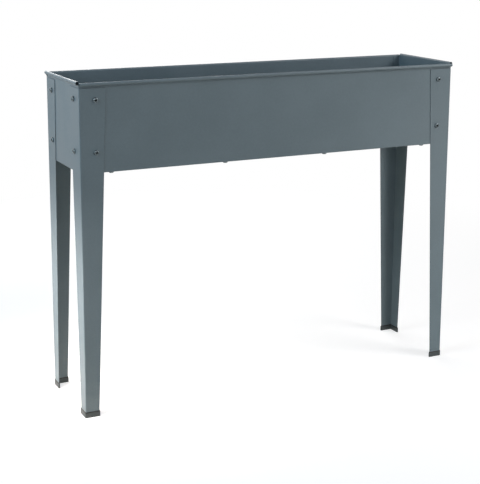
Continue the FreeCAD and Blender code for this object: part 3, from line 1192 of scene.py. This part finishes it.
@dataclass(frozen=True)
class Legs:
    """Four tapered angle legs, folded from thicker sheet."""

    bed: BedFrame
    bend: float = 1.0
    top_width: float = 63.0
    foot_width: float = 33.0
    corner_radius: float = 3.0
    corner_steps: int = 3
    straight_above: float = 600.0
    straight_width: float = 50.0
    step: float = 40.0
    fold_step: float = 9.0  # degrees in the fold from one row of points to the next

    def width(self, height: Any) -> Any:
        """Width of a flange at a height, in proportion between the foot's and the top's."""
        share = (height - self.bed.leg_foot) / (self.bed.leg_top - self.bed.leg_foot)
        return self.foot_width + (self.top_width - self.foot_width) * share

    def front_left(self) -> Surface:
        """Front left leg: an angle section carried up Z, with both free edges drawn in to a taper.

        The section's distance s counts from its corner's middle, so past, the distance past the fold, is
        |s| less half the fold. Above the lowest screws the grid keeps its distances, so that holes stay
        round; further down it shrinks with the width. The last stretch, as long as the corner's radius,
        is always measured from the free edge, and at the top its square becomes a quarter disc by the
        concentric map, which rounds the corner.

        Returns:
            The leg's surface.
        """
        bed, radius = self.bed, self.corner_radius
        sheet, fold = bed.leg_sheet, self.bend + bed.leg_sheet
        flange, kept = self.top_width - fold, self.straight_width - fold
        moves = (Move(length=flange), Move(turn=-90.0, radius=self.bend + sheet / 2), Move(length=flange))
        section = Outline((self.top_width - bed.leg_x, sheet / 2 - bed.leg_y), 180.0, moves)
        centre, half_fold = section.length / 2, section.length / 2 - flange
        screws = both(half_fold + bed.screw_inset - fold, centre)
        holes = Hole.lattice(screws, bed.screw_heights, bed.screw_hole)
        corner = np.linspace(-radius, 0, self.corner_steps + 1)
        outer = half_fold + np.append(kept, flange + corner)
        s_marks = [section.fold_marks(self.fold_step), both(outer, centre)]
        t_marks = [bed.leg_foot, bed.leg_foot + EDGE_GUARD, self.straight_above, bed.leg_top + corner]
        grid = SheetGrid.woven(s_marks, t_marks, holes, self.step)
        side, past = np.sign(grid.s - centre), np.abs(grid.s - centre) - half_fold
        width, straight = self.width(grid.t) - fold, self.width(self.straight_above) - fold
        shrink = np.minimum(1, width / straight)
        blend = (past - kept) / (flange - radius - kept)
        between = kept * shrink + blend * (width - radius - kept * shrink)
        outside = np.where(past <= flange - radius, between, width - (flange - past))
        tapered = np.where(past <= kept, past * shrink, outside)
        shoulder = bed.leg_top - radius
        u, v = (tapered - width + radius) / radius, (grid.t - shoulder) / radius
        in_corner = (u > TINY) & (v > TINY)
        round_u, round_v = concentric(u, v)
        tapered = np.where(in_corner, width - radius + radius * round_u, tapered)
        height = np.where(in_corner, shoulder + radius * round_v, grid.t)
        distance = np.where(past < 0, grid.s, centre + side * (half_fold + tapered))
        place, left = section.at(distance)
        middle = np.stack([place[..., 0], place[..., 1], height], -1)
        normals = np.stack([left[..., 0], left[..., 1], np.zeros_like(height)], -1)
        return shell(middle, normals, grid.keep, sheet)

    def build(self) -> None:
        """Builds the four legs and dresses them."""
        POWDER_COAT.at_corners(self.front_left(), "leg", "angle", Shading.BY_FORMULA)


@dataclass(frozen=True)
class Boots:
    """Four moulded boots, each an L-shaped cap with a slot for the end of its leg.

    Radii are those at the outer corner, at the arms' ends and in the nook.
    """

    bed: BedFrame
    height: float = 14.0
    sole: float = 3.0
    wall: float = 1.2
    fit: float = 0.2
    arm: float = 33.63  # slot's length along each flange
    outside_radii: tuple[float, float, float] = (3.6, 1.0, 0.6)
    slot_radii: tuple[float, float, float] = (2.3, 0.4, 0.6)
    rounding: float = 0.5
    rounding_steps: int = 4
    neck_height: float = 11.6
    neck_slope: float = 0.3
    neck_depth: float = 0.5
    arc_steps: int = 8

    def loop(
        self, near: float, far: float, inner: float, radii: tuple[float, float, float]
    ) -> tuple[np.ndarray, np.ndarray]:
        """Closed L-shaped line with rounded corners, seen from above, and its outward normals.

        At a corner that the line reaches along d, with left normal l and turning by the sign k, the point
        after an angle a is the arc's centre less k r l cos a plus r d sin a, and the outward normal is k
        d sin a less l cos a.

        Args:
            near: Outside of the L, from the leg's outer corner.
            far: Ends of its arms.
            inner: Inside of the L.
            radii: Radii of the corners.

        Returns:
            Points and normals, with the same number at each corner.
        """
        outer, end, nook = radii
        radius = np.array([outer, end, end, nook, end, end])[:, None, None]
        places = [(near, near), (far, near), (far, inner), (inner, inner), (inner, far), (near, far)]
        corners = np.array(places)
        ahead = unit(corners - np.roll(corners, 1, axis=0))[:, None]
        left = np.stack([-ahead[..., 1], ahead[..., 0]], -1)
        onward = unit(np.roll(corners, -1, axis=0) - corners)[:, None]
        turn = np.sign(np.sum(left * onward, -1, keepdims=True))
        angle = np.linspace(0, np.pi / 2, self.arc_steps + 1)[None, :, None]
        centre = corners[:, None] - ahead * radius + turn * radius * left
        points = centre - turn * radius * left * np.cos(angle) + radius * ahead * np.sin(angle)
        normals = turn * ahead * np.sin(angle) - left * np.cos(angle)
        return points.reshape(-1, 2), normals.reshape(-1, 2)

    def front_left(self) -> Surface:
        """Front left boot: the L-shaped line carried through a profile of insets and heights.

        The profile runs from the sole's edge up a rounded foot and a straight wall, steps in to a neck,
        and goes round the lip and down into the slot. A point is the line's point less the inset times
        its normal. Flat faces close sole and slot.

        Returns:
            The boot's surface.
        """
        sheet, proud = self.bed.leg_sheet, self.fit + self.wall
        points, normals = self.loop(-proud, self.arm + self.wall, sheet + proud, self.outside_radii)
        slot, _ = self.loop(-self.fit, self.arm, sheet + self.fit, self.slot_radii)
        turn = np.linspace(0, np.pi / 2, self.rounding_steps + 1)
        rise, fall = self.rounding * (1 - np.sin(turn)), self.rounding * (1 - np.cos(turn))
        foot = np.stack([rise, fall], -1)
        step_in = np.array([(0, self.neck_height), (self.neck_depth, self.neck_height + self.neck_slope)])
        lip = np.stack([self.neck_depth + fall, self.height - rise], -1)
        profile = np.concatenate([foot, step_in, lip])
        rows = np.concatenate([points - profile[:, :1, None] * normals, np.stack([slot, slot])])
        heights = np.concatenate([profile[:, 1], [self.height, self.sole]])
        count = rows.shape[1]
        level = np.repeat(heights, count).reshape(-1, count, 1)
        place = np.concatenate([rows, level], -1).reshape(-1, 3)
        index = np.arange(len(place)).reshape(-1, count)
        faces = [belts(index), index[:1, ::-1], index[-1:]]
        row_edge, row_shade = np.zeros((2, len(heights)))
        row_edge[: len(foot)] = 1.0
        # from the neck's step up round the lip and down into the slot, the boot is painted in shade: a dark
        # line under the leg
        row_shade[len(foot) + 1 :] = 1.0
        corner = np.array([-self.bed.leg_x, -self.bed.leg_y, 0])
        values = (np.repeat(row, count) for row in (row_edge, row_shade))
        return Surface(place + corner, faces, *values).outward()

    def build(self) -> None:
        """Builds the four boots and dresses them."""
        BOOT_PLASTIC.at_corners(self.front_left(), "boot", "moulding", Shading.BY_ANGLE)


@dataclass(frozen=True)
class Seat:
    """Where a screw sits: the place under its head, its way in, and a direction across it."""

    place: tuple[float, float, float]
    inward: tuple[float, float, float]
    across: tuple[float, float, float]

    def axes(self, turn: float) -> np.ndarray:
        """Axes of a fastener in this seat.

        Args:
            turn: Angle that it is turned by about the way in.

        Returns:
            Its X, Y and Z axes, one a row.
        """
        inward, across = np.array(self.inward, float), np.array(self.across, float)
        third = np.cross(inward, across)
        first = across * math.cos(turn) + third * math.sin(turn)
        return np.stack([first, np.cross(inward, first), inward])


@dataclass(frozen=True)
class Fasteners:
    """Pan-head screws with a cross recess, and their nuts, at the legs and under the floor."""

    bed: BedFrame
    head: float = 6.0
    head_height: float = 4.2
    head_rim: float = 1.4
    head_chamfer: float = 0.25
    crown_power: float = 2.4
    crown_start: float = 0.2
    crown_rows: int = 9
    recess_arm: float = 3.45
    recess_width: float = 2.0
    recess_depth: float = 2.6
    recess_end: float = 0.45  # depth at an arm's tip, as a share of that in the middle
    recess_side: float = 0.22  # width of the slope at an arm's sides
    recess_tip: float = 0.3  # and at its tip
    # the cross recess is painted in shade, darker with its depth, fully dark from this depth on
    recess_dark: float = 1.1  # depth from which the recess is dark
    recess_reach: float = 3.9  # radius inside which the crown has close rows for the recess
    recess_rows: int = 21
    thread: float = 2.97
    thread_root: float = 2.45
    thread_steep: float = 1.4  # steepness of the thread's flanks, past 1 for flats at crest and root
    thread_rows: int = 8  # rows in a pitch
    thread_span: tuple[float, float] = (6.1, 9.45)
    pitch: float = 1.0
    shank: float = 6.0
    length: float = 10.0
    tip_length: float = 0.5
    tip_radii: tuple[float, float] = (2.55, 2.15)
    nut_flats: float = 10.0
    nut_height: float = 5.0
    nut_face: float = 0.96  # radius of the end faces, as a share of half the width across flats
    nut_chamfer: float = 30.0
    nut_turn: float = 0.2  # most that a nut stands turned, in radians
    bore: float = 3.05
    bore_lead: float = 0.35
    columns: int = 72

    def swept(self, values: Iterable[Any]) -> np.ndarray:
        """One row of a lathe grid for each value: the same at every angle, or given at each."""
        return np.stack([np.broadcast_to(value, (self.columns,)) for value in values])

    def recess_arm_depth(self, along: np.ndarray, across: np.ndarray) -> np.ndarray:
        """Depth of one arm of the cross recess.

        It falls evenly from the middle to the arm's tip, and smooth steps cut it off at the sides and the
        tip.

        Args:
            along: Places along the arm.
            across: Places across it.

        Returns:
            The depths.
        """
        side = smooth((self.recess_width / 2 - np.abs(across)) / self.recess_side + 0.5)
        tip = smooth((self.recess_arm - np.abs(along)) / self.recess_tip + 0.5)
        inward = np.clip(1 - np.abs(along) / self.recess_arm, 0, 1)
        share = self.recess_end + (1 - self.recess_end) * inward
        return self.recess_depth * share * side * tip

    def screw(self) -> Surface:
        """Screw seated at the origin with its shank along +Z.

        The crown's height falls from the middle as the root of 1 less the radius's power, both of the
        same power, and the cross recess is the deeper of its two arms. The thread's radius goes up and
        down as a triangle wave of the height less the share of a turn, cut flat at crest and root.

        Returns:
            The screw's surface.
        """
        angle = turns(self.columns)
        reach, power, rise = self.recess_reach, self.crown_power, self.head_height - self.head_rim
        inner = np.linspace(self.crown_start, reach, self.recess_rows)
        outer = np.sin(np.linspace(math.asin(reach / self.head), np.pi / 2, self.crown_rows)[1:])
        crown = self.swept(np.concatenate([inner, self.head * outer]))
        top = -self.head_rim - rise * np.clip(1 - (crown / self.head) ** power, 0, 1) ** (1 / power)
        x, y = crown * np.cos(angle), crown * np.sin(angle)
        depth = np.maximum(self.recess_arm_depth(x, y), self.recess_arm_depth(y, x))
        under_radius = self.swept([self.head, self.head - self.head_chamfer, self.thread, self.thread])
        under_level = self.swept([-self.head_chamfer, 0, 0, self.shank])
        height = self.swept(np.arange(*self.thread_span, self.pitch / self.thread_rows))
        phase = (height / self.pitch - angle / (2 * np.pi)) % 1
        fade = np.clip((height - self.shank) / self.pitch, 0, 1)
        groove = np.clip(self.thread_steep * (1 - 2 * np.abs(phase - 0.5)), 0, 1)
        cut = fade * (self.thread - self.thread_root) * groove
        tip_level = self.swept([self.length - self.tip_length, self.length])
        radius = np.concatenate([crown, under_radius, self.thread - cut, self.swept(self.tip_radii)])
        level = np.concatenate([top + depth, under_level, height, tip_level])
        # the cross recess is painted in shade, darker with its depth
        painted_shade = np.zeros_like(radius)
        painted_shade[: len(crown)] = np.clip(depth / self.recess_dark, 0, 1)
        return lathe(radius, level, painted_shade, looped=False)

    def nut(self, grip: float) -> Surface:
        """Hexagon nut on a screw at the origin.

        A side's radius is half the width across flats over the cosine of the angle from the middle of the
        side. Beyond the chamfer's circle, both end faces fall away by the tangent of the chamfer's angle.

        Args:
            grip: Thickness of the sheets that it is tightened against.

        Returns:
            The nut's surface.
        """
        flat = self.nut_flats / 2
        side = flat / np.cos((turns(self.columns) % (np.pi / 3)) - np.pi / 6)
        circle = self.nut_face * flat
        fall = (side - circle) * math.tan(math.radians(self.nut_chamfer))
        bore, lead, top = self.bore, self.bore_lead, self.nut_height
        radius = self.swept([bore, bore + lead, circle, side, side, circle, bore + lead, bore])
        height = self.swept([lead, 0, 0, fall, top - fall, top, top, top - lead])
        return lathe(radius, height + grip, np.zeros_like(radius), looped=True)

    def leg_seats(self, corner: Corner) -> list[Seat]:
        """Seats on the two flanges of one leg, from the top down.

        Args:
            corner: The leg's corner.

        Returns:
            The seats, by turns on the long side and on the end.
        """
        bed, (sign_x, sign_y) = self.bed, corner.value
        seats = []
        for z in bed.screw_heights:
            long_side = (sign_x * (bed.leg_x - bed.screw_inset), sign_y * bed.leg_y, z)
            end_side = (sign_x * bed.leg_x, sign_y * (bed.leg_y - bed.screw_inset), z)
            seats.append(Seat(long_side, (0, -sign_y, 0), (1, 0, 0)))
            seats.append(Seat(end_side, (-sign_x, 0, 0), (0, 0, 1)))
        return seats

    def floor_seats(self) -> list[Seat]:
        """Seats under the ledges of both long panels.

        Returns:
            The seats, from left to right at the front, then at the rear.
        """
        bottom = self.bed.trough_bottom
        rows = both(self.bed.wall_y - self.bed.floor_screw_inset)
        columns = np.sort(both(self.bed.floor_screw_columns))
        return [Seat((x, y, bottom), (0, 0, 1), (1, 0, 0)) for y in rows for x in columns]

    def dress(self, node: str, seats: Sequence[Seat], grip: float, start: int) -> None:
        """Builds one set of screws and one of nuts.

        Args:
            node: First part of the nodes' names.
            seats: Where the screws sit.
            grip: Thickness of the sheets that they hold.
            start: Count of the screws before these, so that no two cross recesses stand alike.
        """
        angles = [GOLDEN_TURN * (start + k) for k in range(len(seats))]
        screw, nut = self.screw(), self.nut(grip)
        sets = {
            "screws": [screw.placed(s.axes(a), s.place) for s, a in zip(seats, angles)],
            "nuts": [nut.placed(s.axes(self.nut_turn * math.sin(a)), s.place) for s, a in zip(seats, angles)],
        }
        for kind, surfaces in sets.items():
            name = f"{node}_{kind}"
            ZINC_STEEL.piece(Surface.joined(surfaces), name + "_set", name, Shading.BY_ANGLE)

    def build(self) -> None:
        """Builds every screw and nut and dresses them."""
        bed, count = self.bed, 0
        for corner in Corner:
            seats = self.leg_seats(corner)
            self.dress(corner.label + "_leg", seats, bed.leg_sheet + bed.panel_sheet, count)
            count += len(seats)
        self.dress("floor", self.floor_seats(), 2 * bed.panel_sheet, count)


@dataclass(frozen=True)
class Lamp:
    """A soft rectangular lamp, aimed at a place; metres, watts, and degrees of spread.

    One that isn't mirrored lights the pieces but doesn't show as a reflection in them.
    """

    name: str
    place: tuple[float, float, float]
    aim: tuple[float, float, float]
    size: tuple[float, float]
    power: float
    spread: float = 180.0
    tint: tuple[float, float, float] = (1.0, 1.0, 1.0)
    mirrored: bool = True

    def build(self) -> None:
        """Puts the lamp into the scene, out of the camera's sight."""
        light = bpy.data.lights.new(self.name, "AREA")
        light.shape = "RECTANGLE"
        light.energy = self.power
        light.spread = math.radians(self.spread)
        light.size, light.size_y = self.size
        light.color = self.tint
        made = linked(self.name, light)
        made.location = self.place
        made.rotation_euler = (Vector(self.aim) - Vector(self.place)).to_track_quat("-Z", "Y").to_euler()
        made.visible_camera = False
        made.visible_glossy = self.mirrored


@dataclass(frozen=True)
class Studio:
    """Pale floor, white surroundings, soft lamps and the camera; metres and degrees."""

    ambient: float = 0.05
    floor_reach: float = 60.0
    floor_tone: tuple[int, int, int] = (240, 240, 240)
    floor_bounce: tuple[int, int, int] = (214, 208, 192)
    floor_level: float = 0.57
    floor_lift: float = 0.40
    floor_pool: tuple[float, float] = (0.8, 2.2)  # from the bed's middle, between which the glow rises
    lamps: tuple[Lamp, ...] = (
        Lamp(
            "upper_left_lamp",
            (-1.9, -0.25, 1.45),
            (-0.45, 0.0, 0.6),
            (1.2, 1.2),
            19.6,
            tint=(0.78, 1.0, 1.16),
        ),
        Lamp("upper_right_lamp", (1.5, -1.2, 1.7), (0.3, 0.0, 0.6), (0.9, 0.9), 19.0, tint=(1.02, 1.0, 1.0)),
        Lamp("low_right_lamp", (1.6, -1.2, 0.25), (0.3, 0.0, 0.3), (0.6, 0.5), 3.6),
        Lamp(
            "low_left_lamp",
            (-0.86, -0.04, 0.49),
            (-0.49, 0.04, 0.11),
            (0.42, 0.3),
            1.95,
            spread=80.0,
            tint=(1.19, 1.0, 0.90),
            mirrored=False,
        ),
        Lamp("low_front_lamp", (0.46, -1.7, 0.12), (0.46, 0.0, 0.10), (0.12, 0.2), 0.27, spread=45.0),
        Lamp("front_lamp", (-0.6, -3.2, 1.3), (0.0, 0.0, 0.45), (1.2, 1.2), 12.2, tint=(0.98, 1.0, 1.10)),
        Lamp("rear_lamp", (0.6, 2.6, 1.2), (0.0, 0.0, 0.5), (1.2, 1.2), 27.0),
        Lamp("rear_left_lamp", (-0.55, 2.4, 1.9), (-0.4, 0.0, 0.75), (0.8, 1.6), 13.0),
    )
    camera_place: tuple[float, float, float] = (-1.32075, -2.62386, 1.11269)
    azimuth: float = -25.970
    elevation: float = 11.598
    roll: float = 0.2544
    lens: float = 89.517
    sensor: float = 36.0
    shift_y: float = -0.13843
    sight: float = 200.0

    @staticmethod
    def seen(sketch: NodeSketch) -> bpy.types.NodeSocket:
        """Tells rays that show the background: straight from the camera, or by way of gloss or glass.

        Args:
            sketch: Nodes of the floor or the world.

        Returns:
            1 for such rays, and 0 for others.
        """
        path = sketch.node("ShaderNodeLightPath").outputs
        some = sketch.math("ADD", path["Is Camera Ray"], path["Is Glossy Ray"])
        return sketch.math("ADD", some, path["Is Transmission Ray"], clamp=True)

    def surroundings(self) -> None:
        """World that is white to look at and lights the bed softly."""
        world = bpy.data.worlds.new("surroundings")
        bpy.context.scene.world = world
        world.use_nodes = True
        world.node_tree.nodes.clear()
        sketch = NodeSketch(world.node_tree)
        soft, bright = (
            sketch.node("ShaderNodeBackground", {"Color": WHITE, "Strength": strength}).outputs[0]
            for strength in (self.ambient, 1.0)
        )
        surface = sketch.node("ShaderNodeMixShader", {0: self.seen(sketch), 1: soft, 2: bright}).outputs[0]
        sketch.node("ShaderNodeOutputWorld", {"Surface": surface})

    def floor(self) -> None:
        """Wide pale floor that takes the bed's shadow.

        To look at, it is a mix of its lit surface and a glow. The glow's share, the lift, rises with the
        distance from the bed, and its strength is 1 less what the surface adds at the floor's level, over
        the lift, so that the mix is white wherever the floor is lit to that level. Other rays meet no
        glow, and a dimmer and warmer surface, which is what the floor throws back on the bed.
        """
        reach = self.floor_reach
        mesh = bpy.data.meshes.new("studio_floor")
        corners = [(-reach, -reach, 0), (reach, -reach, 0), (reach, reach, 0), (-reach, reach, 0)]
        mesh.from_pydata(corners, [], [(0, 1, 2, 3)])
        linked("studio_floor", mesh)
        material = bpy.data.materials.new("pale_floor")
        material.use_nodes = True
        material.node_tree.nodes.clear()
        sketch = NodeSketch(material.node_tree)
        seen = self.seen(sketch)
        colour = sketch.mix(seen, tone(self.floor_bounce), tone(self.floor_tone))
        matt = sketch.node("ShaderNodeBsdfDiffuse", {"Color": colour}).outputs[0]
        place = sketch.node("ShaderNodeTexCoord").outputs["Object"]
        away = sketch.node("ShaderNodeVectorMath", {0: place}, operation="LENGTH").outputs["Value"]
        lift = sketch.ramp(away, *self.floor_pool, (self.floor_lift, 1.0))
        lit = sketch.math("MULTIPLY", sketch.math("SUBTRACT", 1.0, lift), self.floor_level)
        strength = sketch.math("DIVIDE", sketch.math("SUBTRACT", 1.0, lit), lift)
        glow = sketch.node("ShaderNodeEmission", {"Color": WHITE, "Strength": strength}).outputs[0]
        share = sketch.math("MULTIPLY", seen, lift)
        surface = sketch.node("ShaderNodeMixShader", {0: share, 1: matt, 2: glow}).outputs[0]
        sketch.node("ShaderNodeOutputMaterial", {"Surface": surface})
        mesh.materials.append(material)

    def camera(self) -> None:
        """Camera at the photograph's angle: turned about Z, tilted down, then rolled about its sight line."""
        data = bpy.data.cameras.new("photo_camera")
        data.lens = self.lens
        data.sensor_width = self.sensor
        data.shift_y = self.shift_y
        data.clip_end = self.sight
        made = linked("photo_camera", data)
        angles = ((self.azimuth, "Z"), (90 - self.elevation, "X"), (self.roll, "Z"))
        about, tilt, roll = (Matrix.Rotation(math.radians(angle), 3, axis) for angle, axis in angles)
        made.location = self.camera_place
        made.rotation_euler = (about @ tilt @ roll).to_euler()
        bpy.context.scene.camera = made

    def build(self) -> None:
        """Sets the studio up round the bed."""
        self.surroundings()
        self.floor()
        for lamp in self.lamps:
            lamp.build()
        self.camera()
        bpy.context.scene.view_settings.view_transform = "Standard"


def main() -> None:
    """Builds the bed's sub-assemblies in order, then the studio."""
    logging.basicConfig(level=logging.INFO, format="%(name)s %(message)s")
    bed = BedFrame.packed()
    for part in (Trough(bed), Legs(bed), Boots(bed), Fasteners(bed)):
        part.build()
        LOG.info("%s built", type(part).__name__)
    Studio().build()


if __name__ == "__main__":
    main()
